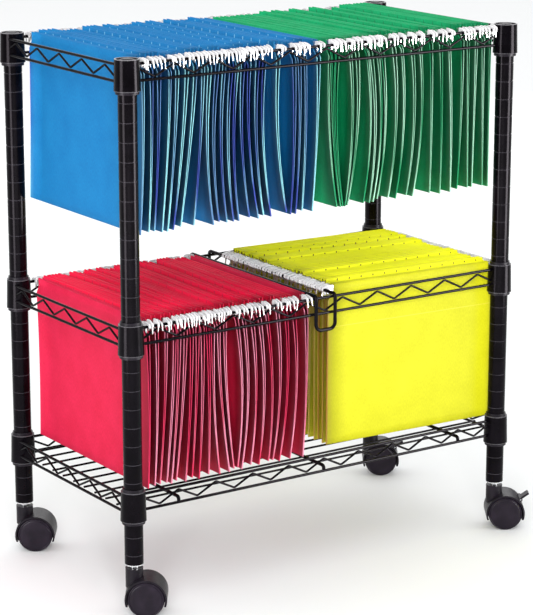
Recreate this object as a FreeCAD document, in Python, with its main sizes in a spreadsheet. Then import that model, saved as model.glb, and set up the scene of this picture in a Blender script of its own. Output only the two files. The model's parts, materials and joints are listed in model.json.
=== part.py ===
import FreeCAD, Part
import math
import os
import Sketcher

# A hanging file rack on twin-wheel casters, in millimetres.
# +X is the rack's right seen from the front, -Y is its front, +Z is up.
# The origin lies on the floor at the middle of the four posts.

DIMENSIONS = {
    # posts
    "span_x": 622,  # post centre to post centre, across
    "span_y": 308,  # post centre to post centre, front to back
    "post_rad": 12.7,
    "post_wall": 1.5,
    "post_above": 4.5,  # the post's end above the top wires
    "groove_pitch": 25.4,
    "groove_depth": 0.7,
    "groove_width": 1.6,
    "cap_flange": 1,
    "cap_dome": 2.5,
    "cap_plug": 10,
    "cap_crown": 6.35,  # radius of the dome's flat middle
    # rail levels: height of the lower wire's centre
    "top_level": 720,
    "middle_level": 372,
    "base_level": 143.2,
    "rail_gap": 22,  # lower wire to upper wire
    "wire_rad": 2,
    "side_out": 10.2,  # side rails stand this far outside the post centres
    "zig_rad": 1.5,
    "zig_bend": 4.5,
    "zig_first": 41,  # post centre to the first bend, front and rear
    "zig_side_first": 38,
    "zig_side_last": 30,
    "zig_periods": 9,
    "zig_side_periods": 4,
    "weld_gap": 0.05,
    # collars and the plastic sleeves inside them
    "collar_room": 1.8,  # between post and collar, at the collar's rim
    "collar_flare": 1.15,  # how much wider the collar is at its foot
    "collar_below": 11.5,
    "collar_above": 7.5,
    "collar_wall": 2,
    "sleeve_below": 4,
    "sleeve_above": 4,
    "sleeve_recess": 1,  # the top sleeves end under the collar's rim
    "fit_gap": 0.05,
    # base tray
    "deck_rad": 1.5,
    "deck_count": 10,
    "deck_first": 29.3,  # front posts' centres to the first wire
    "deck_last": 15,  # last wire to the rear posts' centres
    "deck_end_short": 11.5,  # from the post's centre to a wire that stops at a collar
    "bar_rad": 2.5,
    "bar_bend": 4,
    "bar_inset": 71,  # outer crossbars, inside the posts' centres
    # casters
    "yaw": -34.07,  # degrees, the way all four casters trail
    "trail": 16,
    "wheel_rad": 25,
    "wheel_wide": 17,
    "wheel_chamfer": 1.5,
    "wheel_gap": 0.4,
    "axle_rad": 3,
    "axle_recess": 1.5,
    "hood_clear": 1,
    "hood_wall": 2.5,
    "hood_lip": 0.6,  # how far the hood stands past its wheels
    "hood_web": 4,
    "hood_cut": 9,  # the hood ends this far under the axle
    "socket_rad": 12,
    "socket_rise": 15,  # socket's top above the wheels
    "socket_sunk": 12,  # socket's foot below the wheels' top, inside the hood
    "stem_rad": 5,
    "stem_clear": 0.05,  # between the stem's foot and the wheels
    "stem_up": 20,  # thread inside the post
    "neck_rad": 6,
    "neck_tall": 6,  # socket to post, washer and gap included
    "washer_thick": 1.2,
    "turn_gap": 0.3,
    "insert_long": 22,
    "lever_rad": 3,
    "lever_half": 7,
    "lever_long": 15,
    "lever_thick": 3,
    "lever_at": 40,  # degrees above the axle
    "lever_lift": 35,  # degrees above level
    "lever_ear": 4,
    "lever_out": 1,
    "pin_rad": 1.2,
    # divider
    "divider_rad": 2.5,
    "divider_slack": 0.2,  # room beyond a folder's width, right rail to divider
    "divider_wide": 32,
    "divider_out": 6.5,
    "divider_bottom": 350,
    "divider_bend": 9,
    "divider_shoulder": 5,
    "slide_gap": 0.3,
    # hanging folders
    "card_inset": 5,  # the cards' side edges, inside the wires
    "card_above": 7.5,
    "card_below": 225,
    "card_thick": 0.5,
    "card_open": 2.7,
    "card_cut": 12,
    "card_cut_deep": 12,
    "strip_thick": 0.8,
    "strip_apart": 4,
    "strip_top": 7,
    "strip_bottom": 3.6,
    "hook_play": 3.2,
    "hook_inner_wide": 4.8,
    "hook_outer_wide": 4,
    "hook_inner_drop": 8,
    "hook_outer_drop": 10,
    # each pack: its first and last folder, and how many folders besides the one that lifts out
    "blue_inset": 29.5,  # from the left posts' centres
    "blue_end": -11.02,
    "blue_count": 21,
    "green_first": 15.5,
    "green_inset": 23,  # from the right posts' centres
    "green_count": 20,
    "red_inset": 25,  # from the left posts' centres
    "red_gap": 8.7,  # last folder to the divider
    "red_count": 21,
    "yellow_inset": 21.2,  # from the front posts' centres
    "yellow_room": 41.85,  # last folder to the rear posts' centres
    "yellow_count": 23,
    # machining
    "cutter_spare": 1,  # cutters run this far past what they cut
}

# Sizes that follow from the ones above, in the sheet too.
DERIVED = {
    "collar_top_rad": "post_rad + collar_room + collar_wall",
    "collar_base_rad": "collar_top_rad + collar_flare",
    "post_top": "top_level + rail_gap + post_above",
    "hood_rad": "wheel_rad + hood_clear + hood_wall",
    "hood_half": "hood_web + wheel_gap + wheel_wide + hood_lip",
    "socket_top": "2 * wheel_rad + socket_rise",
    "socket_foot": "2 * wheel_rad - socket_sunk",
    "stem_low": "wheel_rad + sqrt(wheel_rad ^ 2 - (trail - stem_rad) ^ 2) + stem_clear",
    "post_base": "socket_top + neck_tall",
    "deck_pitch": "(span_y - deck_first - deck_last) / (deck_count - 1)",
    "bar_offset": "span_x / 2 - bar_inset",
    "divider_left": "span_x / 2 + side_out - span_y - divider_slack - divider_wide",
    "card_half": "span_y / 2 - card_inset",
    "blue_first": "blue_inset - span_x / 2",
    "blue_pitch": "(blue_end - blue_first) / blue_count",
    "green_pitch": "(span_x / 2 - green_inset - green_first) / green_count",
    "red_first": "red_inset - span_x / 2",
    "red_pitch": "(divider_left - red_gap - red_first) / red_count",
    "yellow_pitch": "(span_y - yellow_inset - yellow_room) / yellow_count",
    "yellow_first": "yellow_inset - span_y / 2 + yellow_pitch",
}

CORNERS = {
    "front_left": (-1, -1),
    "front_right": (1, -1),
    "rear_left": (-1, 1),
    "rear_right": (1, 1),
}
LEVELS = ("top", "middle", "base")
BRAKED = ("front_right", "rear_right")

doc = FreeCAD.newDocument("hanging_file_rack")
sheet = doc.addObject("Spreadsheet::Sheet", "dims")
for row, alias in enumerate([*DIMENSIONS, *DERIVED], start=1):
    sheet.set(f"A{row}", alias)
    sheet.setAlias(f"B{row}", alias)
    sheet.set(f"B{row}", f"={DERIVED[alias]}" if alias in DERIVED else str(DIMENSIONS[alias]))
doc.recompute()

nodes = []


def sized(text):
    """An expression on the sheet: every sheet alias gets its prefix."""
    words = []
    word = ""
    for char in str(text) + " ":
        if char.isalnum() or char == "_" or char == ".":
            word += char
            continue
        words.append(f"dims.{word}" if word in DIMENSIONS or word in DERIVED else word)
        words.append(char)
        word = ""
    return "".join(words).strip()


def value(text):
    return float(sheet.evalExpression(sized(text)))


def bind(item, **sizes):
    for name, text in sizes.items():
        item.setExpression(name.replace("_", "."), sized(text))


def put(item, x="0", y="0", z="0", turn=None, axis=(0, 0, 1)):
    """Bind an object's placement: a corner and a turn about one axis."""
    if turn is not None:
        any_angle = 1  # only the axis is kept; the expression sets the angle
        item.Placement.Rotation = FreeCAD.Rotation(FreeCAD.Vector(*axis), any_angle)
        item.setExpression("Placement.Rotation.Angle", sized(f"({turn}) * 1 deg"))
    for part, text in zip("xyz", (x, y, z)):
        item.setExpression(f"Placement.Base.{part}", sized(text))
    return item


def node(item, name):
    item.Label = name
    nodes.append(item)
    return item


# ---- Part primitives and booleans ----

def cylinder(name, radius, height, x="0", y="0", z="0", axis="z"):
    item = doc.addObject("Part::Cylinder", name)
    bind(item, Radius=radius, Height=height)
    turns = {"z": (None, (0, 0, 1)), "x": ("90", (0, 1, 0)), "y": ("-90", (1, 0, 0))}
    turn, about = turns[axis]
    return put(item, x, y, z, turn, about)


def cone(name, low_radius, high_radius, height, x="0", y="0", z="0"):
    item = doc.addObject("Part::Cone", name)
    bind(item, Radius1=low_radius, Radius2=high_radius, Height=height)
    return put(item, x, y, z)


def box(name, length, width, height, x="0", y="0", z="0", turn=None, axis=(0, 1, 0)):
    item = doc.addObject("Part::Box", name)
    bind(item, Length=length, Width=width, Height=height)
    return put(item, x, y, z, turn, axis)


def cut(name, base, tool):
    item = doc.addObject("Part::Cut", name)
    item.Base = base
    item.Tool = tool
    return item


def fuse(name, *pieces):
    item = doc.addObject("Part::MultiFuse", name)
    item.Shapes = list(pieces)
    return item


def group(name, *pieces):
    item = doc.addObject("Part::Compound", name)
    item.Links = list(pieces)
    return item


# ---- PartDesign bodies ----

def new_body(name):
    body = doc.addObject("PartDesign::Body", name)
    body.AllowCompound = True
    return body


def origin_item(body, role):
    return next(item for item in body.Origin.OriginFeatures if item.Role == role)


def new_sketch(body, name, plane):
    sketch = body.newObject("Sketcher::SketchObject", name)
    sketch.AttachmentSupport = [(origin_item(body, plane), "")]
    sketch.MapMode = "FlatFace"
    return sketch


def outline(sketch, corners):
    """Draw a closed outline whose corners are pairs of sheet expressions."""
    places = [(value(across), value(up)) for across, up in corners]
    first = sketch.GeometryCount
    count = len(places)
    for index, start in enumerate(places):
        end = places[(index + 1) % count]
        line = Part.LineSegment(FreeCAD.Vector(*start, 0), FreeCAD.Vector(*end, 0))
        sketch.addGeometry(line, False)
    for index in range(count):
        joined = Sketcher.Constraint(
            "Coincident", first + index, 2, first + (index + 1) % count, 1
        )
        sketch.addConstraint(joined)
    for index, texts in enumerate(corners):
        for kind, text, size in zip(("DistanceX", "DistanceY"), texts, places[index]):
            rule = Sketcher.Constraint(kind, -1, 1, first + index, 1, size)
            number = sketch.addConstraint(rule)
            sketch.setExpression(f"Constraints[{number}]", sized(text))


def pad(body, name, sketch, length):
    item = body.newObject("PartDesign::Pad", name)
    item.Profile = sketch
    item.Midplane = True
    bind(item, Length=length)
    return item


def turned(body, name, sketch, kind="PartDesign::Revolution"):
    item = body.newObject(kind, name)
    item.Profile = sketch
    item.ReferenceAxis = (sketch, ["V_Axis"])
    item.Angle = 360
    return item


def row_of(body, name, features, axis, pitch, count):
    item = body.newObject("PartDesign::LinearPattern", name)
    item.Originals = features
    item.Direction = (origin_item(body, axis), [""])
    bind(item, Length=f"({pitch}) * (({count}) - 1)", Occurrences=count)
    body.Tip = item
    return item


# ---- bent wire ----

def bent_wire(points, bend, closed=False):
    """Straight runs through the points, joined by tangent arcs of one or more radii."""
    points = [FreeCAD.Vector(*point) for point in points]
    count = len(points)
    bends = bend if isinstance(bend, list) else [bend] * count
    corners = range(count) if closed else range(1, count - 1)
    arcs = {}
    for index in corners:
        here = points[index]
        back = (points[index - 1] - here).normalize()
        ahead = (points[(index + 1) % count] - here).normalize()
        half = back.getAngle(ahead) / 2
        radius = bends[index]
        reach = radius / math.tan(half)
        middle = (back + ahead).normalize()
        crown = here + middle * (radius / math.sin(half) - radius)
        arcs[index] = (here + back * reach, crown, here + ahead * reach)
    edges = []
    for index in range(count if closed else count - 1):
        after = (index + 1) % count
        start = arcs[index][2] if index in arcs else points[index]
        end = arcs[after][0] if after in arcs else points[after]
        edges.append(Part.LineSegment(start, end).toShape())
        if after in arcs:
            edges.append(Part.Arc(*arcs[after]).toShape())
    return Part.Wire(edges)


def rod_along(path, radius):
    first = path.Edges[0]
    start = first.valueAt(first.FirstParameter)
    circle = Part.makeCircle(radius, start, first.tangentAt(first.FirstParameter))
    return path.makePipeShell([Part.Wire([circle])], True, True)


def shape_item(name, shape):
    item = doc.addObject("Part::Feature", name)
    item.Shape = shape
    return item


# ---- posts ----

def make_post(name, side_x, side_y):
    body = new_body(name)
    tube = new_sketch(body, f"{name}_tube", "XZ_Plane")
    inner = "post_rad - post_wall"
    outline(tube, [
        (inner, "0"),
        ("post_rad", "0"),
        ("post_rad", "post_top - post_base"),
        (inner, "post_top - post_base"),
    ])
    turned(body, f"{name}_turned", tube)
    ring = new_sketch(body, f"{name}_groove", "XZ_Plane")
    outline(ring, [
        ("post_rad - groove_depth", "groove_pitch / 2"),
        ("post_rad + cutter_spare", "groove_pitch / 2"),
        ("post_rad + cutter_spare", "groove_pitch / 2 + groove_width"),
        ("post_rad - groove_depth", "groove_pitch / 2 + groove_width"),
    ])
    groove = turned(body, f"{name}_ring", ring, "PartDesign::Groove")
    count = "floor((post_top - post_base - groove_pitch / 2 - groove_width) / groove_pitch) + 1"
    row_of(body, f"{name}_rings", [groove], "Z_Axis", "groove_pitch", count)
    put(body, f"{side_x} * span_x / 2", f"{side_y} * span_y / 2", "post_base")
    return node(body, name)


def make_cap(name, x, y):
    """A plug in the post's top with a domed head."""
    plug = cylinder(
        f"{name}_plug", "post_rad - post_wall - fit_gap", "cap_plug + cap_flange / 2",
        x, y, "post_top - cap_plug",
    )
    flange = cylinder(f"{name}_flange", "post_rad", "cap_flange", x, y, "post_top")
    dome = cone(
        f"{name}_dome", "post_rad", "cap_crown", "cap_dome",
        x, y, "post_top + cap_flange",
    )
    return fuse(f"{name}_whole", plug, flange, dome)


def corner_place(side_x, side_y):
    return f"({side_x}) * span_x / 2", f"({side_y}) * span_y / 2"


def at_corners(name, maker):
    """One node that groups the piece that maker makes for each post."""
    pieces = []
    for corner, (side_x, side_y) in CORNERS.items():
        x, y = corner_place(side_x, side_y)
        pieces.append(maker(f"{name}_{corner}", x, y))
    return node(group(f"{name}_group", *pieces), name)


# ---- collars, sleeves ----

COLLAR_TALL = "(rail_gap + collar_below + collar_above)"


def collar_low(level):
    return f"{level}_level - collar_below"


def make_collar(level, name, x, y):
    outer = cone(
        f"{name}_outer", "collar_base_rad", "collar_top_rad", COLLAR_TALL,
        x, y, collar_low(level),
    )
    inner = cone(
        f"{name}_inner", "collar_base_rad - collar_wall", "collar_top_rad - collar_wall",
        COLLAR_TALL, x, y, collar_low(level),
    )
    return cut(f"{name}_ring", outer, inner)


def make_sleeve(level, name, x, y):
    """A tapered plastic ring between post and collar, proud at both ends."""
    flare = f"((collar_base_rad - collar_top_rad) / {COLLAR_TALL})"
    above = "(-sleeve_recess)" if level == "top" else "sleeve_above"
    tall = f"{COLLAR_TALL} + sleeve_below + {above}"
    low = f"{collar_low(level)} - sleeve_below"
    outer = cone(
        f"{name}_outer",
        f"collar_base_rad - collar_wall - fit_gap + {flare} * sleeve_below",
        f"collar_top_rad - collar_wall - fit_gap - {flare} * {above}",
        tall, x, y, low,
    )
    bore = cylinder(f"{name}_bore", "post_rad + fit_gap", tall, x, y, low)
    return cut(f"{name}_ring", outer, bore)


def collar_envelopes(level):
    """Solid cones, a weld gap larger than the collars, that cope the wires."""
    cones = []
    for corner, (side_x, side_y) in CORNERS.items():
        x, y = corner_place(side_x, side_y)
        cones.append(cone(
            f"{level}_envelope_{corner}", "collar_base_rad + weld_gap",
            "collar_top_rad + weld_gap", COLLAR_TALL, x, y, collar_low(level),
        ))
    return group(f"{level}_envelopes", *cones)


# ---- rails ----

def zigzag_points(first, last, periods, span, low_first):
    """Bends of the zigzag wire between the two rail wires, seen face on."""
    low = value("wire_rad + zig_rad + weld_gap")
    high = value("rail_gap") - low
    pitch = (span - first - last) / periods
    start = -span / 2 + first - pitch / 2
    points = []
    for index in range(2 * periods + 3):
        rising = (index % 2 == 0) == low_first
        points.append((start + index * pitch / 2, high if rising else low))
    return points


def make_rail(level, side, envelopes):
    name = f"{side}_rail_{level}"
    height = f"{level}_level"
    along_x = side in ("front", "rear")
    side_sign = -1 if side in ("front", "left") else 1
    if along_x:
        start = ("-span_x / 2", f"({side_sign}) * span_y / 2")
        length = "span_x"
        first = last = value("zig_first")
        periods = int(value("zig_periods"))
    else:
        start = (f"({side_sign}) * (span_x / 2 + side_out)", "-span_y / 2")
        length = "span_y"
        first = value("zig_side_first")
        last = value("zig_side_last")
        periods = int(value("zig_side_periods"))
    axis = "x" if along_x else "y"
    lower = cylinder(f"{name}_lower", "wire_rad", length, *start, height, axis)
    upper = cylinder(
        f"{name}_upper", "wire_rad", length, *start, f"{height} + rail_gap", axis
    )
    low_first = along_x and level != "middle"
    flat = zigzag_points(first, last, periods, value(length), low_first)
    base = value(height)
    if along_x:
        points = [(across, value(start[1]), base + up) for across, up in flat]
    else:
        points = [(value(start[0]), across, base + up) for across, up in flat]
    zigzag = shape_item(
        f"{name}_zigzag", rod_along(bent_wire(points, value("zig_bend")), value("zig_rad"))
    )
    wires = group(f"{name}_wires", lower, upper, zigzag)
    return node(cut(f"{name}_coped", wires, envelopes), name)


# ---- base tray ----

def make_deck_wires():
    body = new_body("deck_wires_body")
    sketch = new_sketch(body, "deck_wire_section", "YZ_Plane")
    sketch.addGeometry(
        Part.Circle(FreeCAD.Vector(0, 0, 0), FreeCAD.Vector(0, 0, 1), value("deck_rad")), False
    )
    sketch.addConstraint(Sketcher.Constraint("Coincident", 0, 3, -1, 1))
    number = sketch.addConstraint(Sketcher.Constraint("Radius", 0, value("deck_rad")))
    sketch.setExpression(f"Constraints[{number}]", sized("deck_rad"))
    long = "span_x + 2 * (side_out - zig_rad - weld_gap)"
    wire = pad(body, "deck_wire", sketch, long)
    row_of(body, "deck_row", [wire], "Y_Axis", "deck_pitch", "deck_count")
    height = "base_level + wire_rad + deck_rad + weld_gap"
    put(body, "0", "deck_first - span_y / 2", height)
    # The wires that would meet a collar end short of it.
    room = "collar_base_rad + weld_gap"
    corners = [
        box(
            f"deck_end_{corner}", f"{room} + deck_end_short", f"2 * ({room})",
            "collar_above",
            f"{x} - ({'deck_end_short' if side_x > 0 else room})", f"{y} - ({room})",
            f"{height} - collar_above / 2",
        )
        for corner, (side_x, side_y) in CORNERS.items()
        for x, y in [corner_place(side_x, side_y)]
    ]
    return node(cut("deck_wires_cut", body, group("deck_ends", *corners)), "deck_wires")


def make_crossbars():
    """Three bars over the deck wires, their ends turned down on the rails."""
    seat = value("base_level + wire_rad + weld_gap")
    crown = value("base_level + wire_rad + 2 * deck_rad + bar_rad + 2 * weld_gap")
    half = value("span_y / 2")
    bars = []
    for side in (-1, 0, 1):
        x = side * value("bar_offset")
        points = [(x, -half, seat), (x, -half, crown), (x, half, crown), (x, half, seat)]
        bars.append(rod_along(bent_wire(points, value("bar_bend")), value("bar_rad")))
    return node(shape_item("deck_crossbars_shape", Part.makeCompound(bars)), "deck_crossbars")


# ---- casters ----

def make_insert(name, x, y):
    """A threaded plug pressed into the foot of the post."""
    outer = cylinder(
        f"{name}_outer", "post_rad - post_wall - fit_gap", "insert_long", x, y, "post_base"
    )
    bore = cylinder(f"{name}_bore", "stem_rad + fit_gap", "insert_long", x, y, "post_base")
    return cut(f"{name}_ring", outer, bore)


def make_stem(name, x, y):
    """Threaded stem with a neck and a washer under the post."""
    pin = cylinder(
        f"{name}_pin", "stem_rad", "post_base + stem_up - stem_low", x, y, "stem_low"
    )
    neck_low = "socket_top + turn_gap"
    neck = cylinder(f"{name}_neck", "neck_rad", f"post_base - ({neck_low})", x, y, neck_low)
    washer = cylinder(
        f"{name}_washer", "post_rad", "washer_thick", x, y, "post_base - washer_thick"
    )
    return fuse(f"{name}_whole", pin, neck, washer)


LEVER_REACH = "(hood_rad + lever_out)"
LEVER_X = f"(trail + {LEVER_REACH} * cos(lever_at))"
LEVER_Z = f"(wheel_rad + {LEVER_REACH} * sin(lever_at))"
EAR_OUT = "(lever_half + turn_gap + lever_ear)"


def swung(item, side_x, side_y):
    """Place a piece drawn in the caster's own frame at its post."""
    return put(item, *corner_place(side_x, side_y), "0", "yaw")


def make_hood(corner, side_x, side_y):
    name = f"caster_hood_{corner}"
    drum = cylinder(
        f"{name}_drum", "hood_rad", "2 * hood_half", "trail", "-hood_half", "wheel_rad", "y"
    )
    socket = cylinder(
        f"{name}_socket", "socket_rad", "socket_top - socket_foot", "0", "0", "socket_foot"
    )
    blank = fuse(f"{name}_blank", drum, socket)
    outside = "(hood_half + cutter_spare)"
    depth = f"{outside} - hood_web"
    room = "wheel_rad + hood_clear"
    left = cylinder(f"{name}_left", room, depth, "trail", f"-{outside}", "wheel_rad", "y")
    right = cylinder(f"{name}_right", room, depth, "trail", "hood_web", "wheel_rad", "y")
    under = box(
        f"{name}_under", "2 * (hood_rad + cutter_spare)", f"2 * {outside}", "wheel_rad",
        "trail - hood_rad - cutter_spare", f"-{outside}", "-hood_cut",
    )
    stem_bore = cylinder(
        f"{name}_stem_bore", "stem_rad + turn_gap", "socket_top", "0", "0", "stem_low - turn_gap"
    )
    axle_bore = cylinder(
        f"{name}_axle_bore", "axle_rad + fit_gap", "2 * hood_half",
        "trail", "-hood_half", "wheel_rad", "y",
    )
    tools = [left, right, under, stem_bore, axle_bore]
    if corner in BRAKED:
        tools.append(cylinder(
            f"{name}_slot", "lever_rad + turn_gap", "2 * (lever_half + turn_gap)",
            LEVER_X, "-lever_half - turn_gap", LEVER_Z, "y",
        ))
    hood = cut(f"{name}_shell", blank, fuse(f"{name}_tools", *tools))
    if corner in BRAKED:
        ears = [
            cylinder(
                f"{name}_ear_{label}", "lever_rad", "lever_ear", LEVER_X, low, LEVER_Z, "y"
            )
            for label, low in (("a", f"-{EAR_OUT}"), ("b", "lever_half + turn_gap"))
        ]
        pin_bore = cylinder(
            f"{name}_pin_bore", "pin_rad + fit_gap", f"2 * {EAR_OUT}",
            LEVER_X, f"-{EAR_OUT}", LEVER_Z, "y",
        )
        hood = cut(f"{name}_eared", fuse(f"{name}_ears", hood, *ears), pin_bore)
    return node(swung(hood, side_x, side_y), name)


def make_axle(corner, side_x, side_y):
    """The axle, and on a braked caster the lever's hinge pin beside it."""
    name = f"caster_axle_{corner}"
    half = "(hood_half - axle_recess)"
    pins = [cylinder(
        f"{name}_pin", "axle_rad", f"2 * {half}", "trail", f"-{half}", "wheel_rad", "y"
    )]
    if corner in BRAKED:
        pins.append(cylinder(
            f"{name}_lever_pin", "pin_rad", f"2 * {EAR_OUT}",
            LEVER_X, f"-{EAR_OUT}", LEVER_Z, "y",
        ))
    return node(swung(group(f"{name}_pins", *pins), side_x, side_y), name)


def make_wheel(corner, hand, side_x, side_y):
    name = f"caster_wheel_{corner}_{hand}"
    body = new_body(f"{name}_body")
    sketch = new_sketch(body, f"{name}_half", "XY_Plane")
    bore = "axle_rad + fit_gap"
    outline(sketch, [
        (bore, "0"),
        ("wheel_rad - wheel_chamfer", "0"),
        ("wheel_rad", "wheel_chamfer"),
        ("wheel_rad", "wheel_wide - wheel_chamfer"),
        ("wheel_rad - wheel_chamfer", "wheel_wide"),
        (bore, "wheel_wide"),
    ])
    turned(body, f"{name}_turned", sketch)
    inner = "(hood_web + wheel_gap)"
    across = inner if hand == "b" else f"(-{inner} - wheel_wide)"
    x, y = corner_place(side_x, side_y)
    put(
        body,
        f"{x} + trail * cos(yaw) - {across} * sin(yaw)",
        f"{y} + trail * sin(yaw) + {across} * cos(yaw)",
        "wheel_rad", "yaw",
    )
    return node(body, name)


def make_lever(corner, side_x, side_y):
    name = f"brake_lever_{corner}"
    barrel = cylinder(
        f"{name}_barrel", "lever_rad", "2 * lever_half", LEVER_X, "-lever_half", LEVER_Z, "y"
    )
    blade = box(
        f"{name}_blade", "lever_long", "2 * lever_half", "lever_thick",
        f"{LEVER_X} + lever_thick / 2 * sin(lever_lift)",
        "-lever_half",
        f"{LEVER_Z} - lever_thick / 2 * cos(lever_lift)",
        "-lever_lift", (0, 1, 0),
    )
    bore = cylinder(
        f"{name}_bore", "pin_rad + turn_gap / 2", "2 * lever_half",
        LEVER_X, "-lever_half", LEVER_Z, "y",
    )
    lever = cut(f"{name}_bored", fuse(f"{name}_whole", barrel, blade), bore)
    return node(swung(lever, side_x, side_y), name)


# ---- divider ----

def make_divider():
    """One closed loop of rod: two rods over the rails, looped down at each end."""
    left = value("divider_left")
    right = left + value("divider_wide")
    high = value("middle_level + rail_gap + wire_rad + slide_gap + divider_rad")
    low = value("divider_bottom")
    front = value("-(span_y / 2 + divider_out)")
    points = [
        (left, front, high), (left, front, low), (right, front, low), (right, front, high),
        (right, -front, high), (right, -front, low), (left, -front, low), (left, -front, high),
    ]
    shoulder = value("divider_shoulder")
    foot = value("divider_bend")
    path = bent_wire(points, [shoulder, foot, foot, shoulder] * 2, closed=True)
    rod = rod_along(path, value("divider_rad"))
    if rod.ShapeType != "Solid":
        rod = Part.Solid(Part.Shell(rod.Faces))
    return node(shape_item("divider_shape", rod), "divider")


# ---- hanging folders ----
# A folder is drawn with its cards facing X, hung on two wires along X at
# plus and minus half the post span, whose centres are at height zero.

def card_half_sections(sketch):
    """The V of the two panels below the hooks, seen along the folder's width."""
    grow = "card_open / (card_above + card_below)"
    neck = f"({grow} * (card_below - card_cut_deep + card_above))"
    top = "card_above - card_cut_deep"
    fold = "card_thick"
    outline(sketch, [
        (f"-{fold}", "-card_below"),
        (fold, "-card_below"),
        (f"{neck} + {fold}", top),
        (neck, top),
        ("0", f"-card_below + {fold}"),
        (f"-{neck}", top),
        (f"-{neck} - {fold}", top),
    ])


def card_top_sections(sketch):
    grow = "card_open / (card_above + card_below)"
    neck = f"({grow} * (card_below - card_cut_deep + card_above))"
    top = "card_above - card_cut_deep"
    for sign in ("-1", "1"):
        outline(sketch, [
            (f"({sign}) * {neck}", top),
            (f"({sign}) * ({neck} + card_thick)", top),
            (f"({sign}) * (card_open + card_thick)", "card_above"),
            (f"({sign}) * card_open", "card_above"),
        ])


def make_cards(name, pitch, count):
    body = new_body(f"{name}_body")
    lower = new_sketch(body, f"{name}_lower_section", "XZ_Plane")
    card_half_sections(lower)
    main = pad(body, f"{name}_lower", lower, "2 * card_half")
    upper = new_sketch(body, f"{name}_upper_section", "XZ_Plane")
    card_top_sections(upper)
    tops = pad(body, f"{name}_upper", upper, "2 * (card_half - card_cut)")
    if value(count) > 1:
        row_of(body, f"{name}_row", [main, tops], "X_Axis", pitch, count)
    return body


def make_strips(name, pitch, count):
    """Two metal strips a folder, each with a hook over the wire at both ends."""
    body = new_body(f"{name}_body")
    wire = "(span_y / 2)"
    outer = f"({wire} + hook_play + hook_outer_wide)"
    notch_out = f"({wire} + hook_play)"
    notch_in = f"({wire} - hook_play)"
    inner = f"({wire} - hook_play - hook_inner_wide)"
    half = [
        (inner, "-strip_bottom"),
        (inner, "-hook_inner_drop"),
        (notch_in, "-hook_inner_drop"),
        (notch_in, "wire_rad + slide_gap"),
        (notch_out, "wire_rad + slide_gap"),
        (notch_out, "-hook_outer_drop"),
        (outer, "-hook_outer_drop"),
        (outer, "strip_top"),
    ]
    mirrored = [(f"-{across}", up) for across, up in reversed(half)]
    both = []
    for label, sign in (("left", -1), ("right", 1)):
        sketch = new_sketch(body, f"{name}_{label}_outline", "YZ_Plane")
        outline(sketch, half + mirrored)
        sketch.setExpression("AttachmentOffset.Base.z", sized(f"({sign}) * strip_apart / 2"))
        both.append(pad(body, f"{name}_{label}_strip", sketch, "strip_thick"))
    if value(count) > 1:
        row_of(body, f"{name}_row", both, "X_Axis", pitch, count)
    return body


def hang(item, colour, place):
    """Hang a pack from its two wires: yellow across the rack, the others along it."""
    level = "top" if colour in ("blue", "green") else "middle"
    wires = f"{level}_level + rail_gap"
    if colour != "yellow":
        return put(item, place, "0", wires)
    # The yellow pack leans a little: the divider's rod is higher than the rail.
    rod = "(divider_left + divider_wide)"
    side = "(span_x / 2 + side_out)"
    rise = "(slide_gap + 2 * divider_rad)"
    lean = f"asin({rise} / span_y)"
    spot = f"create(<<vector>>; ({rod} + {side}) / 2; {place}; {wires} + {rise} / 2)"
    turn = f"create(<<rotation>>; 90; 0; {lean})"
    item.setExpression("Placement", sized(f"create(<<placement>>; {spot}; {turn})"))
    return item


def make_folders(colour):
    first = f"{colour}_first"
    pitch = f"{colour}_pitch"
    count = f"{colour}_count"
    spare = f"{first} + {pitch} * {count}"
    if colour == "yellow":
        spare = f"{first} - {pitch}"
    for kind, maker in (("cards", make_cards), ("strips", make_strips)):
        pack = maker(f"{colour}_folder_{kind}", pitch, count)
        node(hang(pack, colour, first), f"{colour}_folder_{kind}")
    card = make_cards(f"{colour}_end_card", pitch, "1")
    strips = make_strips(f"{colour}_end_strips", pitch, "1")
    end = group(f"{colour}_end", card, strips)
    node(hang(end, colour, spare), f"{colour}_end_folder")


# ---- the whole rack ----

for corner, sides in CORNERS.items():
    make_post(f"post_{corner}", *sides)
at_corners("post_caps", make_cap)
for level in LEVELS:
    at_corners(f"collars_{level}", lambda name, x, y, at=level: make_collar(at, name, x, y))
    at_corners(f"sleeves_{level}", lambda name, x, y, at=level: make_sleeve(at, name, x, y))
    envelopes = collar_envelopes(level)
    for side in ("front", "rear", "left", "right"):
        make_rail(level, side, envelopes)
make_deck_wires()
make_crossbars()
at_corners("stem_inserts", make_insert)
at_corners("caster_stems", make_stem)
for corner, sides in CORNERS.items():
    make_hood(corner, *sides)
    make_axle(corner, *sides)
    for hand in ("a", "b"):
        make_wheel(corner, hand, *sides)
    if corner in BRAKED:
        make_lever(corner, *sides)
make_divider()
for colour in ("blue", "green", "red", "yellow"):
    make_folders(colour)

doc.recompute()

for item in doc.Objects:
    if {"Invalid", "Error"} & set(item.State):
        raise RuntimeError(f"{item.Label} did not compute: {item.State}")
for item in nodes:
    if item.Shape.isNull() or not item.Shape.isValid():
        raise RuntimeError(f"{item.Label} has no valid shape")
    if not item.Shape.Solids:
        raise RuntimeError(f"{item.Label} holds no solid")

os.makedirs("parts", exist_ok=True)
for item in nodes:
    item.Shape.exportStep(f"parts/{item.Label}.step")
    limits = item.Shape.BoundBox
    print(
        f"{item.Label}: {len(item.Shape.Solids)} solids, {item.Shape.Volume:.0f} mm3,",
        f"x {limits.XMin:.1f}..{limits.XMax:.1f}, y {limits.YMin:.1f}..{limits.YMax:.1f},",
        f"z {limits.ZMin:.1f}..{limits.ZMax:.1f}",
    )
print(len(nodes), "nodes")
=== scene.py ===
import json
import math
import random

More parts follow.
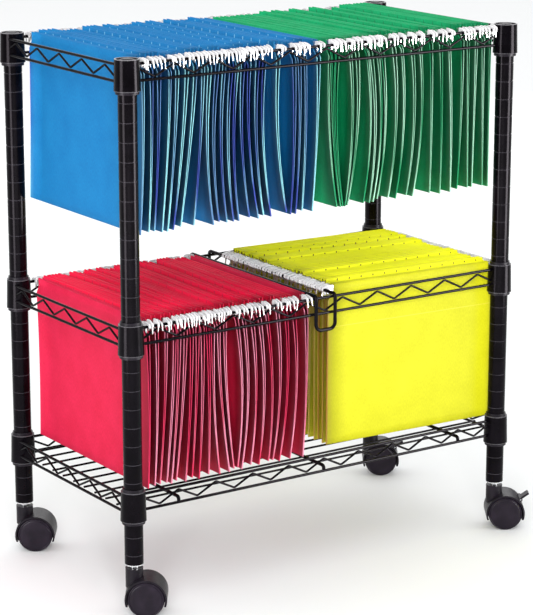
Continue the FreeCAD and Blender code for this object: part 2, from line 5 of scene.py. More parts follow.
import bpy
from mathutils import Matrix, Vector


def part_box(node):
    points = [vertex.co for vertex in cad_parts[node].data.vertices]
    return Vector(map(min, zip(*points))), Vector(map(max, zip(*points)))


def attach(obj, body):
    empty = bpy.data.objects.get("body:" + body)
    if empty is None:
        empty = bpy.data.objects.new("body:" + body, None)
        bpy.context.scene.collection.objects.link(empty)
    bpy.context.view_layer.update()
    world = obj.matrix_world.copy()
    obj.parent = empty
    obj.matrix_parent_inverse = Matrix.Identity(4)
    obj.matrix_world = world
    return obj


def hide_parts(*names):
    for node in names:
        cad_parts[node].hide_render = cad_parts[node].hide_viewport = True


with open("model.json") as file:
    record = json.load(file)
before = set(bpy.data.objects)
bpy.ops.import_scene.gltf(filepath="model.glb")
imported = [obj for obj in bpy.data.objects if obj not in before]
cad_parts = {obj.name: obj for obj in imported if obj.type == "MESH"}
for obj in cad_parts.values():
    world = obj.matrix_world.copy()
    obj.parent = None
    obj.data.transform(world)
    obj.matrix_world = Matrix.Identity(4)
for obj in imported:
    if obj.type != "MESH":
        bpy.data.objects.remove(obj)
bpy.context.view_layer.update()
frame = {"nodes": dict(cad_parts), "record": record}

MM = 0.001
CORNERS = ("front_left", "front_right", "rear_left", "rear_right")


# ---- camera, light and floor ----

CAMERA_PLACE = (-1.8197, -2.7008, 1.1742)
CAMERA_TURN = -34.075  # degrees, about Z
CAMERA_DIP = 14.248  # degrees below level
CAMERA_LENS = 158.04  # mm
SENSOR_WIDE = 36  # mm

FLOOR_HALF = 8
RACK_MIDDLE = (0, 0, 0.45)


def make_camera():
    """A long lens at the front left, looking a little down."""
    data = bpy.data.cameras.new("camera")
    data.sensor_fit = "HORIZONTAL"
    data.sensor_width = SENSOR_WIDE
    data.lens = CAMERA_LENS
    camera = bpy.data.objects.new("camera", data)
    camera.location = CAMERA_PLACE
    camera.rotation_euler = (math.radians(90 - CAMERA_DIP), 0, math.radians(CAMERA_TURN))
    bpy.context.scene.collection.objects.link(camera)
    bpy.context.scene.camera = camera


def make_light(name, place, aim, size, strength, lights=True, mirrored=True):
    """A rectangular lamp; its strength is the radiance of its surface.

    One that doesn't light the object only leaves its highlight on gloss, and one that
    isn't mirrored leaves none.
    """
    data = bpy.data.lights.new(name, "AREA")
    data.shape = "RECTANGLE"
    data.size, data.size_y = size
    data.energy = strength * math.pi * size[0] * size[1]
    lamp = bpy.data.objects.new(name, data)
    lamp.location = place
    lamp.rotation_euler = (Vector(aim) - Vector(place)).to_track_quat("-Z", "Y").to_euler()
    lamp.visible_camera = False
    lamp.visible_diffuse = lights
    lamp.visible_glossy = mirrored
    bpy.context.scene.collection.objects.link(lamp)


def make_studio():
    """A bright ceiling and a soft fill; the reflectors put two pale bands on each post."""
    scene = bpy.context.scene
    scene.view_settings.view_transform = "Standard"
    world = bpy.data.worlds.new("studio")
    scene.world = world
    world.use_nodes = True
    backdrop = world.node_tree.nodes["Background"]
    backdrop.inputs["Color"].default_value = (1, 1, 1, 1)
    backdrop.inputs["Strength"].default_value = 0.22
    make_light("ceiling", (1.5, 2.5, 5.0), (1.5, 2.5, 0), (18, 18), 1.26)
    make_light("fill", (-1.95, -2.75, 1.25), RACK_MIDDLE, (1.5, 1.5), 17.5, mirrored=False)
    make_light("left_reflector", (-1.75, -0.35, 0.55), RACK_MIDDLE, (0.6, 1.6), 13, lights=False)
    make_light("right_reflector", (1.2, -1.5, 0.55), RACK_MIDDLE, (0.8, 1.6), 22, lights=False)
    make_light("back_sweep", (2.0, 3.4, 1.2), (0, 0, 0.6), (4, 1.6), 1.5)


def make_floor():
    mesh = bpy.data.meshes.new("floor")
    corners = [(x * FLOOR_HALF, y * FLOOR_HALF, 0) for x, y in ((-1, -1), (1, -1), (1, 1), (-1, 1))]
    mesh.from_pydata(corners, [], [(0, 1, 2, 3)])
    floor = bpy.data.objects.new("floor", mesh)
    bpy.context.scene.collection.objects.link(floor)
    mesh.materials.append(floor_paint())


# ---- material nodes ----

def new_material(name):
    """A material with its node tree and its shader."""
    material = bpy.data.materials.new(name)
    material.use_nodes = True
    return material, material.node_tree, material.node_tree.nodes["Principled BSDF"]


def add(tree, kind, **sockets):
    """A node with settings on its sockets, whose spaces are written as underscores."""
    item = tree.nodes.new(kind)
    for name, setting in sockets.items():
        item.inputs[name.replace("_", " ")].default_value = setting
    return item


def noise(tree, coords, scale, detail=3.0, stretch=None):
    """Fractal noise on the given coordinates, stretched along an axis if asked."""
    source = coords
    if stretch:
        mapping = add(tree, "ShaderNodeMapping", Scale=stretch)
        tree.links.new(coords, mapping.inputs["Vector"])
        source = mapping.outputs["Vector"]
    item = add(tree, "ShaderNodeTexNoise", Scale=scale, Detail=detail)
    tree.links.new(source, item.inputs["Vector"])
    return item.outputs["Fac"]


def ramp(tree, factor, low, high, start=0.35, end=0.65):
    """A colour between low and high as the factor goes from start to end."""
    item = tree.nodes.new("ShaderNodeValToRGB")
    item.color_ramp.elements[0].position = start
    item.color_ramp.elements[1].position = end
    item.color_ramp.elements[0].color = (*low, 1)
    item.color_ramp.elements[1].color = (*high, 1)
    tree.links.new(factor, item.inputs["Fac"])
    return item.outputs["Color"]


def span(tree, factor, low, high, start=0.0, end=1.0):
    """A number between low and high as the factor goes from start to end."""
    item = add(tree, "ShaderNodeMapRange", From_Min=start, From_Max=end, To_Min=low, To_Max=high)
    tree.links.new(factor, item.inputs["Value"])
    return item.outputs["Result"]


def bump(tree, shader, height, strength, distance):
    item = add(tree, "ShaderNodeBump", Strength=strength, Distance=distance)
    tree.links.new(height, item.inputs["Height"])
    tree.links.new(item.outputs["Normal"], shader.inputs["Normal"])


def object_coords(tree):
    return tree.nodes.new("ShaderNodeTexCoord").outputs["Object"]


def maths(tree, operation, first, second=None):
    """A math node on two numbers or sockets."""
    item = tree.nodes.new("ShaderNodeMath")
    item.operation = operation
    for socket, setting in zip(item.inputs, (first, second)):
        if isinstance(setting, (int, float)):
            socket.default_value = setting
        elif setting is not None:
            tree.links.new(setting, socket)
    return item.outputs["Value"]


def mixed(tree, factor, base, tint):
    """The base colour with the tint, a colour or a socket, laid over it by the factor."""
    item = tree.nodes.new("ShaderNodeMix")
    item.data_type = "RGBA"
    first, second = (socket for socket in item.inputs if socket.type == "RGBA")
    result = next(socket for socket in item.outputs if socket.type == "RGBA")
    tree.links.new(factor, item.inputs[0])
    tree.links.new(base, first)
    if isinstance(tint, tuple):
        second.default_value = (*tint, 1)
    else:
        tree.links.new(tint, second)
    return result


def height_of(tree):
    """The height above the floor, because a CAD node's place is in its mesh."""
    parts = tree.nodes.new("ShaderNodeSeparateXYZ")
    tree.links.new(object_coords(tree), parts.inputs["Vector"])
    return parts.outputs["Z"]


# ---- paints ----

def floor_paint():
    material, _, shader = new_material("pale_floor")
    shader.inputs["Base Color"].default_value = (0.80, 0.81, 0.815, 1)
    shader.inputs["Roughness"].default_value = 0.9
    shader.inputs["Specular IOR Level"].default_value = 0.1
    return material


def enamel(name="black_enamel"):
    """Gloss black powder coat: a fine orange peel and faintly mottled gloss."""
    material, tree, shader = new_material(name)
    place = object_coords(tree)
    mottle = noise(tree, place, 45)
    tree.links.new(
        ramp(tree, mottle, (0.0012, 0.0009, 0.0014), (0.003, 0.0023, 0.0036)),
        shader.inputs["Base Color"],
    )
    tree.links.new(span(tree, noise(tree, place, 160), 0.1, 0.18), shader.inputs["Roughness"])
    shader.inputs["Specular IOR Level"].default_value = 0.07
    shader.inputs["Specular Tint"].default_value = (1.0, 0.9, 1.0, 1)
    bump(tree, shader, noise(tree, place, 1400, 2), 0.1, 0.0003)
    return material


GROOVE_PITCH = 25.4 * MM
GROOVE_FIRST = 12.5 * MM  # above the post's foot
GROOVE_LIP = 0.7 * MM
# half the height of the painted highlight at each collar rim
RIM_HIGHLIGHT_HALF = 0.7 * MM


def lay_painted_highlight(material, mask, tint, share):
    """Where the mask is one, lay a patchy painted highlight over the coat, up to the share."""
    tree = material.node_tree
    shader = tree.nodes["Principled BSDF"]
    patches = span(tree, noise(tree, object_coords(tree), 90, 3), share * 0.4, share)
    coat = shader.inputs["Base Color"].links[0].from_socket
    result = mixed(tree, maths(tree, "MULTIPLY", mask, patches), coat, tint)
    tree.links.new(result, shader.inputs["Base Color"])


def post_enamel():
    """The posts' powder coat, with a painted highlight along the lower lip of each groove."""
    material = enamel("post_enamel")
    tree = material.node_tree
    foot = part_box("post_front_left")[0].z
    above_first = maths(tree, "SUBTRACT", height_of(tree), foot + GROOVE_FIRST)
    beat = maths(tree, "FRACT", maths(tree, "DIVIDE", above_first, GROOVE_PITCH))
    # painted highlight: the lower lip of each groove is painted paler, for the light it catches
    lip_highlight = maths(tree, "LESS_THAN", beat, GROOVE_LIP / GROOVE_PITCH)
    lay_painted_highlight(material, lip_highlight, (0.12, 0.11, 0.13), 0.55)
    return material


def collar_enamel():
    """The collars' powder coat, with a painted highlight along the upper and lower rims."""
    material = enamel("collar_enamel")
    tree = material.node_tree
    height = height_of(tree)
    rim_highlights = None
    for level in ("top", "middle", "base"):
        low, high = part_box(f"collars_{level}")
        for rim in (low.z, high.z):
            away = maths(tree, "ABSOLUTE", maths(tree, "SUBTRACT", height, rim))
            near = maths(tree, "LESS_THAN", away, RIM_HIGHLIGHT_HALF)
            rim_highlights = near if rim_highlights is None else maths(tree, "ADD", rim_highlights, near)
    # painted highlight: a pale band along each collar rim, for the light the rim catches
    lay_painted_highlight(material, rim_highlights, (0.22, 0.21, 0.23), 0.6)
    return material


def moulded(name, low, high, rough, gloss):
    """Moulded plastic with a fine grain."""
    material, tree, shader = new_material(name)
    shader.inputs["Specular IOR Level"].default_value = gloss
    place = object_coords(tree)
    tree.links.new(ramp(tree, noise(tree, place, 60), low, high), shader.inputs["Base Color"])
    tree.links.new(span(tree, noise(tree, place, 220), *rough), shader.inputs["Roughness"])
    bump(tree, shader, noise(tree, place, 2200, 2), 0.15, 0.0002)
    return material


def bright_metal(name, low, high, rough):
    """Plated steel, faintly drawn along its height."""
    material, tree, shader = new_material(name)
    place = object_coords(tree)
    brushed = noise(tree, place, 300, 2, stretch=(1, 1, 0.1))
    tree.links.new(ramp(tree, brushed, low, high), shader.inputs["Base Color"])
    tree.links.new(span(tree, brushed, *rough), shader.inputs["Roughness"])
    shader.inputs["Metallic"].default_value = 1.0
    bump(tree, shader, brushed, 0.08, 0.0001)
    return material


# A card, measured from its side edge and from its top.
CARD_HALF = 149 * MM
SLOT_PITCH = 20.6 * MM
SLOT_WIDE = 1.9 * MM
SLOT_HIGH = 1.6 * MM
SLOT_LOW = 6.2 * MM
# how far down the painted highlight on a card's top reaches
TOP_HIGHLIGHT_DEEP = 7 * MM
SCORE_DOWN = 62 * MM
SCORE_HALF = 0.5 * MM
# painted highlight along the side edges: the width of its strong rim, which is also edge wear, and
# how far in it fades
EDGE_WEAR_AND_HIGHLIGHT = 1.6 * MM
EDGE_HIGHLIGHT_FADE = 11 * MM
NO_SLOTS = 1.0  # added to the depth of a card that shows its plain face


def slot_mask(tree, across, down):
    """One inside the tab slots, which repeat across the hem."""
    beat = maths(tree, "FRACT", maths(tree, "DIVIDE", across, SLOT_PITCH))
    in_slot = maths(tree, "LESS_THAN", beat, SLOT_WIDE / SLOT_PITCH)
    below = maths(tree, "GREATER_THAN", down, SLOT_HIGH)
    above = maths(tree, "LESS_THAN", down, SLOT_LOW)
    return maths(tree, "MULTIPLY", in_slot, maths(tree, "MULTIPLY", below, above))


def score_highlight_mask(tree, down):
    """A faint line pressed across the plain face, shown as a painted highlight."""
    away = maths(tree, "ABSOLUTE", maths(tree, "SUBTRACT", down, NO_SLOTS + SCORE_DOWN))
    return maths(tree, "MULTIPLY", maths(tree, "LESS_THAN", away, SCORE_HALF), 0.35)


def edge_wear_and_highlight_mask(tree, across):
    """Painted highlight, strong along the card's side edges and fading inwards from them; the thin
    rim is also wear of the cut edge.
    """
    outward = maths(tree, "ABSOLUTE", maths(tree, "SUBTRACT", across, CARD_HALF))
    rim = maths(tree, "GREATER_THAN", outward, CARD_HALF - EDGE_WEAR_AND_HIGHLIGHT)
    fade = span(tree, outward, 0, 0.22, CARD_HALF - EDGE_HIGHLIGHT_FADE, CARD_HALF - EDGE_WEAR_AND_HIGHLIGHT)
    return maths(tree, "ADD", maths(tree, "MULTIPLY", rim, 0.68), fade)


def card_stock(name, deep, bright, slot_tint, edge_shade_tint, edge_highlight_tint, run=(1, 0.02, 0.03), top_highlight=None,
               scored=False):
    """Dyed card: fibres, a faint mottle, side edges part worn and part painted light and shade,
    painted tab slots in the hem, and on some a painted highlight on the top.

    The UV map holds the place across the folder and the depth from its top, in metres.
    The tint of the edges changes from folder to folder along the pack, the way of run.
    """
    material, tree, shader = new_material(name)
    place = object_coords(tree)
    flat = tree.nodes.new("ShaderNodeTexCoord").outputs["UV"]
    parts = tree.nodes.new("ShaderNodeSeparateXYZ")
    tree.links.new(flat, parts.inputs["Vector"])
    across, down = parts.outputs["X"], parts.outputs["Y"]

    fibres = noise(tree, flat, 700, 4, stretch=(1, 0.35, 1))
    mottle = noise(tree, place, 28, 3)
    both = maths(tree, "ADD", maths(tree, "MULTIPLY", fibres, 0.6),
                 maths(tree, "MULTIPLY", mottle, 0.4))
    colour = ramp(tree, both, deep, bright, 0.36, 0.64)
    if top_highlight:
        # painted highlight: the top of the card is painted paler, for the light from above
        colour = mixed(tree, maths(tree, "LESS_THAN", down, TOP_HIGHLIGHT_DEEP), colour, top_highlight)
    # the slots are not cut: their tint is painted in for what shows through each hole, painted shade
    # on green, red and yellow cards and a paler fleck on blue
    colour = mixed(tree, slot_mask(tree, across, down), colour, slot_tint)
    if scored:
        # painted highlight: the pressed score is painted in the pale edge colour
        colour = mixed(tree, score_highlight_mask(tree, down), colour, edge_highlight_tint)
    # painted light and shade: the edges get a tint between a dark painted shade and a pale painted
    # highlight
    edge_painted_tint = ramp(tree, noise(tree, place, 75, 1, stretch=run), edge_shade_tint, edge_highlight_tint, 0.38, 0.6)
    colour = mixed(tree, edge_wear_and_highlight_mask(tree, across), colour, edge_painted_tint)
    tree.links.new(colour, shader.inputs["Base Color"])
    tree.links.new(span(tree, fibres, 0.55, 0.75), shader.inputs["Roughness"])
    shader.inputs["Specular IOR Level"].default_value = 0.14
    bump(tree, shader, fibres, 0.25, 0.0002)
    return material


def dress_cad_nodes(paints):
    """Give every CAD node the paint of its material slot; posts and collars have their own."""
    slots = {row["node"]: row["material_slot"] for row in frame["record"]["subparts"]}
    for name, piece in frame["nodes"].items():
        piece.data.materials.clear()
        paint = slots[name]
        if paint == "black_enamel":
            kind = name.split("_")[0].rstrip("s")
            paint = f"{kind}_enamel" if kind in ("post", "collar") else paint
        piece.data.materials.append(paints[paint])


# ---- mesh helpers ----

def mesh_piece(name, points, faces, material, smooth=True, uvs=None):
    """A mesh object; uvs holds one place for each point."""
    mesh = bpy.data.meshes.new(name)
    mesh.from_pydata([tuple(point) for point in points], [], faces)
    mesh.validate()
    if uvs is not None:
        layer = mesh.uv_layers.new(name="flat")
        for loop in mesh.loops:
            layer.data[loop.index].uv = uvs[loop.vertex_index]
    for face in mesh.polygons:
        face.use_smooth = smooth
    mesh.materials.append(material)
    piece = bpy.data.objects.new(name, mesh)
    bpy.context.scene.collection.objects.link(piece)
    return piece


class Shape:
    """Points, faces and flat places gathered for one mesh."""

    def __init__(self):
        self.points = []
        self.faces = []
        self.uvs = []

    def ring(self, rows, uv_rows=None):
        """Join rows of points, each the same length, into quads, and the last to the first.

        Returns the index of the first point.
        """
        first = len(self.points)
        wide = len(rows[0])
        for row in rows:
            self.points.extend(row)
        for row in uv_rows or [[(0, 0)] * wide for _ in rows]:
            self.uvs.extend(row)
        count = len(rows)
        for index in range(count):
            here = first + index * wide
            after = first + ((index + 1) % count) * wide
            for step in range(wide - 1):
                self.faces.append((here + step, here + step + 1, after + step + 1, after + step))
        return first

    def prism(self, outline, low, high, place):
        """Extrude a flat outline between two depths; place puts (a, b, depth) in space."""
        first = len(self.points)
        count = len(outline)
        for depth in (low, high):
            for a, b in outline:
                self.points.append(place(a, b, depth))
                self.uvs.append((a, b))
        self.faces.append(tuple(first + index for index in reversed(range(count))))
        self.faces.append(tuple(first + count + index for index in range(count)))
        for index in range(count):
            after = (index + 1) % count
            self.faces.append(
                (first + index, first + after, first + count + after, first + count + index)
            )

    def piece(self, name, material, smooth=True, with_uvs=False):
        return mesh_piece(
            name, self.points, self.faces, material, smooth, self.uvs if with_uvs else None
        )


# ---- hanging folders ----

CARD_LONG = 232.5 * MM
CARD_THICK = 0.8 * MM
CORNER_CUT = 9 * MM
CORNER_SLOPE = 5 * MM
HEM_DEEP = 12 * MM
HEM_THICK = 1.7 * MM
FOLD_DROP = 0.5 * MM  # how far the fold rounds below the panels
WIRE_RAD = 2 * MM
TOP_OVER_WIRE = 7.5 * MM
ROWS = 20  # down one panel
COLUMNS = 8  # across the card

REAR_BOW = 0.3  # of the bow at the front
LEVEL_SHARES = ((1, 0.3), (2, 0.68))  # the middle levels, and how far down they lie
BEZIER_MIDDLE = 0.75  # how far a curve's middle follows its two middle controls
LEVEL_GAPS = (6.6, 4.6, 3.6, 3.0)  # mm, the least between two folders on each level


def bezier(values, t):
    """A place on the cubic curve with the four control values."""
    a, b, c, d = values
    s = 1 - t
    return a * s**3 + 3 * b * s * s * t + 3 * c * s * t * t + d * t**3


def spread(rng, count, low, high, unevenness):
    """Places in order from low to high, their gaps uneven."""
    if count == 1:
        return [(low + high) / 2]
    weights = [1 + unevenness * rng.random() ** 2 for _ in range(count - 1)]
    total = sum(weights)
    places = [low]
    for weight in weights:
        places.append(places[-1] + (high - low) * weight / total)
    return places


def keep_apart(places, gap):
    """Push places on so that each is at least a gap past the one before."""
    for index in range(1, len(places)):
        places[index] = max(places[index], places[index - 1] + gap)
    return places


def pack_places(seed, bundles):
    """Control places, in metres, of each folder's hang at its front and its rear edge.

    A bundle is a run of folders that bow together: how many, the first and last top,
    the first and last foot, and the bow of its middle, in millimetres. Every level is
    in order, and the curve between them is a mean of its controls, so that folders
    never cross.
    """
    rng = random.Random(seed)
    ends = []
    for share_bow in (1, REAR_BOW):
        levels = [[], [], [], []]
        for count, top_first, top_last, foot_first, foot_last, bow in bundles:
            top = spread(rng, count, top_first, top_last, 1.2)
            foot = spread(rng, count, foot_first, foot_last, 2)
            levels[0] += top
            levels[3] += foot
            for level, share in LEVEL_SHARES:
                wobble = [rng.uniform(-0.8, 0.8) for _ in range(count)]
                levels[level] += [
                    a + (b - a) * share + (bow / BEZIER_MIDDLE) * share_bow + c
                    for a, b, c in zip(top, foot, wobble)
                ]
        ends.append([keep_apart(level, gap) for level, gap in zip(levels, LEVEL_GAPS)])
    count = len(ends[0][0])
    return [
        [[level[index] * MM for level in levels] for levels in ends] for index in range(count)
    ]


def folder_path(controls, opening, belly):
    """One edge of a folder as seen from its end: down one panel, round the fold, up.

    Returns (x, z, distance from the top, thickness) along the card.
    """
    steps = []
    x_before = z = 0.0
    drop = CARD_LONG / ROWS
    for row in range(ROWS + 1):
        t = row / ROWS
        x = bezier(controls, t)
        if row:
            z -= math.sqrt(max(drop * drop - (x - x_before) ** 2, 0.25 * drop * drop))
        x_before = x
        steps.append((x, z, CARD_LONG * t))

    def gap(distance):
        """Half the space between the panels, which close a little below the strips."""
        t = distance / CARD_LONG
        return opening * (1 - t) ** 2.6 + belly * math.sin(math.pi * t) + CARD_THICK * 0.6

    def thick(distance):
        return HEM_THICK if distance < HEM_DEEP else CARD_THICK

    down = [(x - gap(s), z, s, thick(s)) for x, z, s in steps]
    up = [(x + gap(s), z, s, thick(s)) for x, z, s in reversed(steps)]
    x, z, s = steps[-1]
    return down + [(x, z - FOLD_DROP, s, CARD_THICK)] + up


def half_width(distance):
    """The card is cut back at its top corners, beside the hooks."""
    slope = min(max((distance - HEM_DEEP) / CORNER_SLOPE, 0), 1)
    return CARD_HALF - CORNER_CUT * (1 - slope)


def between(first, second, share):
    """The mean of two rows of numbers, the share of the way to the second."""
    return [a + (b - a) * share for a, b in zip(first, second)]


def add_folder(shape, controls, opening, belly, place, plain):
    """A folded card: the two edges' paths joined across, with a thickness."""
    front, rear = (folder_path(edge, opening, belly) for edge in controls)
    count = len(front)
    sides = []
    flats = []
    for side in (-0.5, 0.5):
        for index in range(count):
            before = max(index - 1, 0)
            after = min(index + 1, count - 1)
            row = []
            flat_row = []
            for step in range(COLUMNS + 1):
                across = step / COLUMNS
                x, z, distance, thick = between(front[index], rear[index], across)
                lead = between(front[before], rear[before], across)
                trail = between(front[after], rear[after], across)
                run = Vector((trail[0] - lead[0], trail[1] - lead[1])).normalized()
                out = Vector((-run[1], run[0])) * side * thick
                y = half_width(distance) * (2 * across - 1)
                row.append(place(x + out[0], y, z + out[1]))
                flat_row.append((y + CARD_HALF, distance + (NO_SLOTS if plain else 0)))
            sides.append(row)
            flats.append(flat_row)
    loop = sides[:count] + sides[count:][::-1]
    flat_loop = flats[:count] + flats[count:][::-1]
    first = shape.ring(loop, flat_loop)
    close_edges(shape, first, count)


def close_edges(shape, first, count):
    """Close the two side edges of a folder, between its outer and its inner face."""
    wide = COLUMNS + 1
    for edge in (0, COLUMNS):
        for index in range(count - 1):
            opposite = 2 * count - 1 - index
            rows = (index, index + 1, opposite - 1, opposite)
            corners = tuple(first + row * wide + edge for row in rows)
            shape.faces.append(corners if edge else corners[::-1])


def add_hook(rng, tips, prongs, sign, x, wire, place, short=False):
    """One end of a hanging strip: a white moulded tip over a steel hook.

    A short hook sits square on its wire and stays above the zigzag, so that it can
    shift on the rail.
    """
    lift = rng.uniform(-0.5, 1.3)
    slip = rng.uniform(-0.9, 0.9)
    cant = rng.uniform(-0.16, 0.16)
    if short:
        slip = 0

    def set_down(y, z, depth):
        return place(x + depth + (z - WIRE_RAD) * cant, sign * y, z)

    def tip(points, half):
        tips.prism([(wire + (a + slip) * MM, b * MM) for a, b in points], -half, half, set_down)

    def steel(points, half):
        prongs.prism([(wire + (a + slip) * MM, b * MM) for a, b in points], -half, half, set_down)

    tip([(-8.6, 1.2), (-7.6, 6.6 + lift), (-2, 6.2 + lift), (1.5, 5.2 + lift * 0.6),
         (5.2, 4.2), (6.4, 0.2), (4.2, -1.8), (3.3, 2.3), (-3.1, 2.3), (-3.4, 0.4), (-6, -2.2)],
        rng.uniform(0.9, 1.3) * MM)
    reach = -2.6 if short else rng.uniform(-9.5, -6)
    steel([(-18, 5.5), (-7, 5.5), (-3.2, 2.2), (-3.4, reach + 2), (-4.4, reach), (-6.4, reach),
           (-7, -3), (-18, -3)], 0.5 * MM)
    if rng.random() < 0.75:
        reach = -1.4 if short else rng.uniform(-10, -7)
        steel([(3.4, 2.2), (5.4, 2.2), (5.6, reach), (4.6, reach - 1), (3.6, reach)], 0.45 * MM)


def folder_pack(colour, paints, seed, bundles, openings, end_index, turn=None):
    """All folders of one colour: the pack, and the one at its end that lifts out.

    Openings are the least and most half space between a folder's strips, in millimetres.
    A pack with a turn runs front to back, and its divider side hangs that much higher.
    """
    level = "top" if colour in ("blue", "green") else "middle"
    rail_low, rail_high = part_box(f"front_rail_{level}")
    wire_z = rail_high.z - WIRE_RAD
    wire_y = -(rail_low.y + rail_high.y) / 2
    top_z = wire_z + TOP_OVER_WIRE
    low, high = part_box(f"{colour}_end_folder")
    middle_x = (low.x + high.x) / 2

    def along(x, y, z):
        return (x, y, z)

    def across(x, y, z):
        return (middle_x - y, x, z + turn * (1 + y / wire_y) / 2)

    place = along if turn is None else across
    folders = pack_places(seed, bundles)
    rng = random.Random(seed + 1)
    made = {"pack": (Shape(), Shape(), Shape()), "end": (Shape(), Shape(), Shape())}
    for index, controls in enumerate(folders):
        cards, tips, prongs = made["end" if index == end_index else "pack"]
        plain = index in (0, end_index)
        opening = rng.uniform(*openings) * MM
        belly = 0.1 * MM if plain else rng.uniform(0, 0.6) * MM
        proud = rng.uniform(-0.8, 0.4) * MM if plain or rng.random() < 0.6 else 2.8 * MM

        def card_place(x, y, z):
            return place(x, y, z + top_z + proud)

        def hook_place(x, y, z):
            return place(x, y, z + wire_z)

        add_folder(cards, controls, opening, belly, card_place, plain)
        for side in (-1, 1):
            for sign, edge in zip((-1, 1), controls):
                strip = edge[0] + side * opening
                on_right_rail = turn is not None and sign < 0
                add_hook(rng, tips, prongs, sign, strip, wire_y, hook_place, on_right_rail)

    for key, body, nodes in (
        ("pack", f"{colour}_folders", (f"{colour}_folder_cards", f"{colour}_folder_strips")),
        ("end", f"{colour}_end_folder", (f"{colour}_end_folder",)),
    ):
        cards, tips, prongs = made[key]
        card_piece = cards.piece(
            f"{body}_cards", paints[f"{colour}_card"], smooth=True, with_uvs=True
        )
        tip_piece = tips.piece(f"{body}_hook_tips", paints["white_tip"], smooth=False)
        prong_piece = prongs.piece(f"{body}_hooks", paints["hanger_steel"], smooth=False)
        for piece in (card_piece, tip_piece, prong_piece):
            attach(piece, body)
        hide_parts(nodes[0])
        if len(nodes) > 1:
            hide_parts(nodes[1])


# What a bundle's numbers mean is said in pack_places. A bow is towards +.
BLUE_BUNDLES = (
    (8, -285, -192, -291, -209, 3),
    (9, -180, -94, -178, -86, -9),
    (1, -72, -72, -61, -61, -9),
    (3, -50, -32, -54, -35, 4),
    (1, -9, -9, -18, -18, 3),
)
GREEN_BUNDLES = (
    (3, 12, 25, 23, 33, -8),
    (2, 41, 53, 37, 41, 10),
    (4, 67, 93, 68, 92, 12),
    (4, 114, 160, 111, 154, 11),
    (4, 181, 237, 184, 233, 3),
    (3, 248, 275, 252, 279, 0),
    (1, 288, 288, 289, 289, 0),
)
RED_BUNDLES = (
    (10, -283, -190, -284, -188, 3),
    (3, -180, -160, -170, -147, -5),
    (8, -146, -52, -141, -54, 10),
    (1, -29, -29, -32, -32, 4),
)
YELLOW_BUNDLES = (
    (1, -134, -134, -134, -134, 0),
    (6, -125, -78, -124, -74, 2),
    (5, -66, -20, -64, -18, -2),
    (6, -6, 52, -4, 50, 3),
    (6, 62, 112, 60, 110, -2),
)


# ---- casters ----

YAW = math.radians(-34.07)  # the way all four casters trail
AXLE = Vector((-math.sin(YAW), math.cos(YAW), 0))
TRAIL = Vector((math.cos(YAW), math.sin(YAW), 0))

WHEEL_STEPS = 64

# Places across the wheel, from its middle towards its outer face, and the radius there,
# in millimetres.
WHEEL_PROFILE = (
    (-8.5, 3.2), (-8.5, 22.6), (-8.2, 23.8), (-7.4, 24.7), (-6.2, 25), (5.2, 25), (6.6, 24.8),
    (7.5, 24.1), (7.8, 23.2), (7.6, 22.7), (7.0, 22.5), (7.0, 22.1), (7.7, 21.8), (8.1, 20.6),
    (8.3, 16), (8.4, 9), (8.5, 0.01),
)


def make_wheel(corner, hand, material):
    """A moulded wheel with a rounded tread and a closed, slightly domed cover."""
    node = f"caster_wheel_{corner}_{hand}"
    low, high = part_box(node)
    middle = (low + high) / 2
    out = AXLE if hand == "b" else -AXLE
    shape = Shape()
    rows = []
    for index in range(WHEEL_STEPS):
        angle = 2 * math.pi * index / WHEEL_STEPS
        spoke = TRAIL * math.cos(angle) + Vector((0, 0, 1)) * math.sin(angle)
        rows.append([middle + out * a * MM + spoke * r * MM for a, r in WHEEL_PROFILE])
    if hand == "a":
        rows.reverse()
    shape.ring(rows)
    piece = shape.piece(f"wheel_{corner}_{hand}_moulding", material)
    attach(piece, f"wheel_{corner}_{hand}")
    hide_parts(node)


# ---- the scene ----

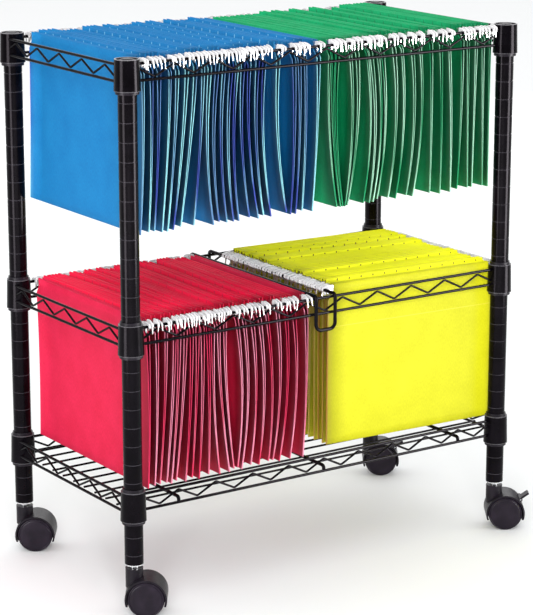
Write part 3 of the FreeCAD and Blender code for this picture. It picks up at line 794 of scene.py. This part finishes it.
def make_paints():
    """Every paint by name: the material slots', the posts' and collars', and the hook tips'."""
    return {
        "black_enamel": enamel(),
        "post_enamel": post_enamel(),
        "collar_enamel": collar_enamel(),
        "black_plastic": moulded("black_plastic", (0.006, 0.0045, 0.007), (0.012, 0.009, 0.014),
                                 (0.3, 0.45), 0.16),
        "wheel_plastic": moulded("wheel_plastic", (0.010, 0.007, 0.012), (0.017, 0.012, 0.020),
                                 (0.28, 0.42), 0.16),
        "zinc": bright_metal("zinc", (0.72, 0.72, 0.74), (0.9, 0.9, 0.92), (0.16, 0.32)),
        "hanger_steel": bright_metal("hanger_steel", (0.75, 0.72, 0.72), (0.9, 0.88, 0.88),
                                     (0.3, 0.45)),
        "white_tip": moulded("white_tip", (0.60, 0.59, 0.60), (0.74, 0.73, 0.74), (0.45, 0.6), 0.15),
        # each card's fourth and fifth colours are its painted edge shade and its painted edge
        # highlight
        "blue_card": card_stock("blue_card", (0.003, 0.15, 0.40), (0.008, 0.20, 0.47),
                                (0.16, 0.42, 0.62), (0.05, 0.07, 0.42), (0.36, 0.88, 0.95)),
        "green_card": card_stock("green_card", (0.001, 0.28, 0.095), (0.006, 0.38, 0.145),
                                 (0.01, 0.20, 0.08), (0.01, 0.34, 0.13), (0.50, 0.95, 0.68)),
        "red_card": card_stock("red_card", (0.60, 0.008, 0.045), (0.72, 0.018, 0.075),
                               (0.60, 0.02, 0.06), (0.80, 0.03, 0.11), (1.0, 0.34, 0.50),
                               top_highlight=(0.85, 0.008, 0.055)),
        "yellow_card": card_stock("yellow_card", (0.56, 0.545, 0.005), (0.66, 0.645, 0.013),
                                  (0.16, 0.13, 0.01), (0.50, 0.20, 0.04), (0.86, 0.74, 0.16),
                                  run=(0.02, 1, 0.03), top_highlight=(0.90, 0.89, 0.010), scored=True),
    }


make_camera()
make_studio()
make_floor()
paints = make_paints()
dress_cad_nodes(paints)

folder_pack("blue", paints, 7, BLUE_BUNDLES, (1.6, 3.2), 21)
folder_pack("green", paints, 12, GREEN_BUNDLES, (1.6, 3.2), 20)
folder_pack("red", paints, 23, RED_BUNDLES, (1.6, 3.2), 21)
folder_pack("yellow", paints, 31, YELLOW_BUNDLES, (2.6, 3.6), 0, turn=5.3 * MM)
for corner in CORNERS:
    for hand in ("a", "b"):
        make_wheel(corner, hand, paints["wheel_plastic"])
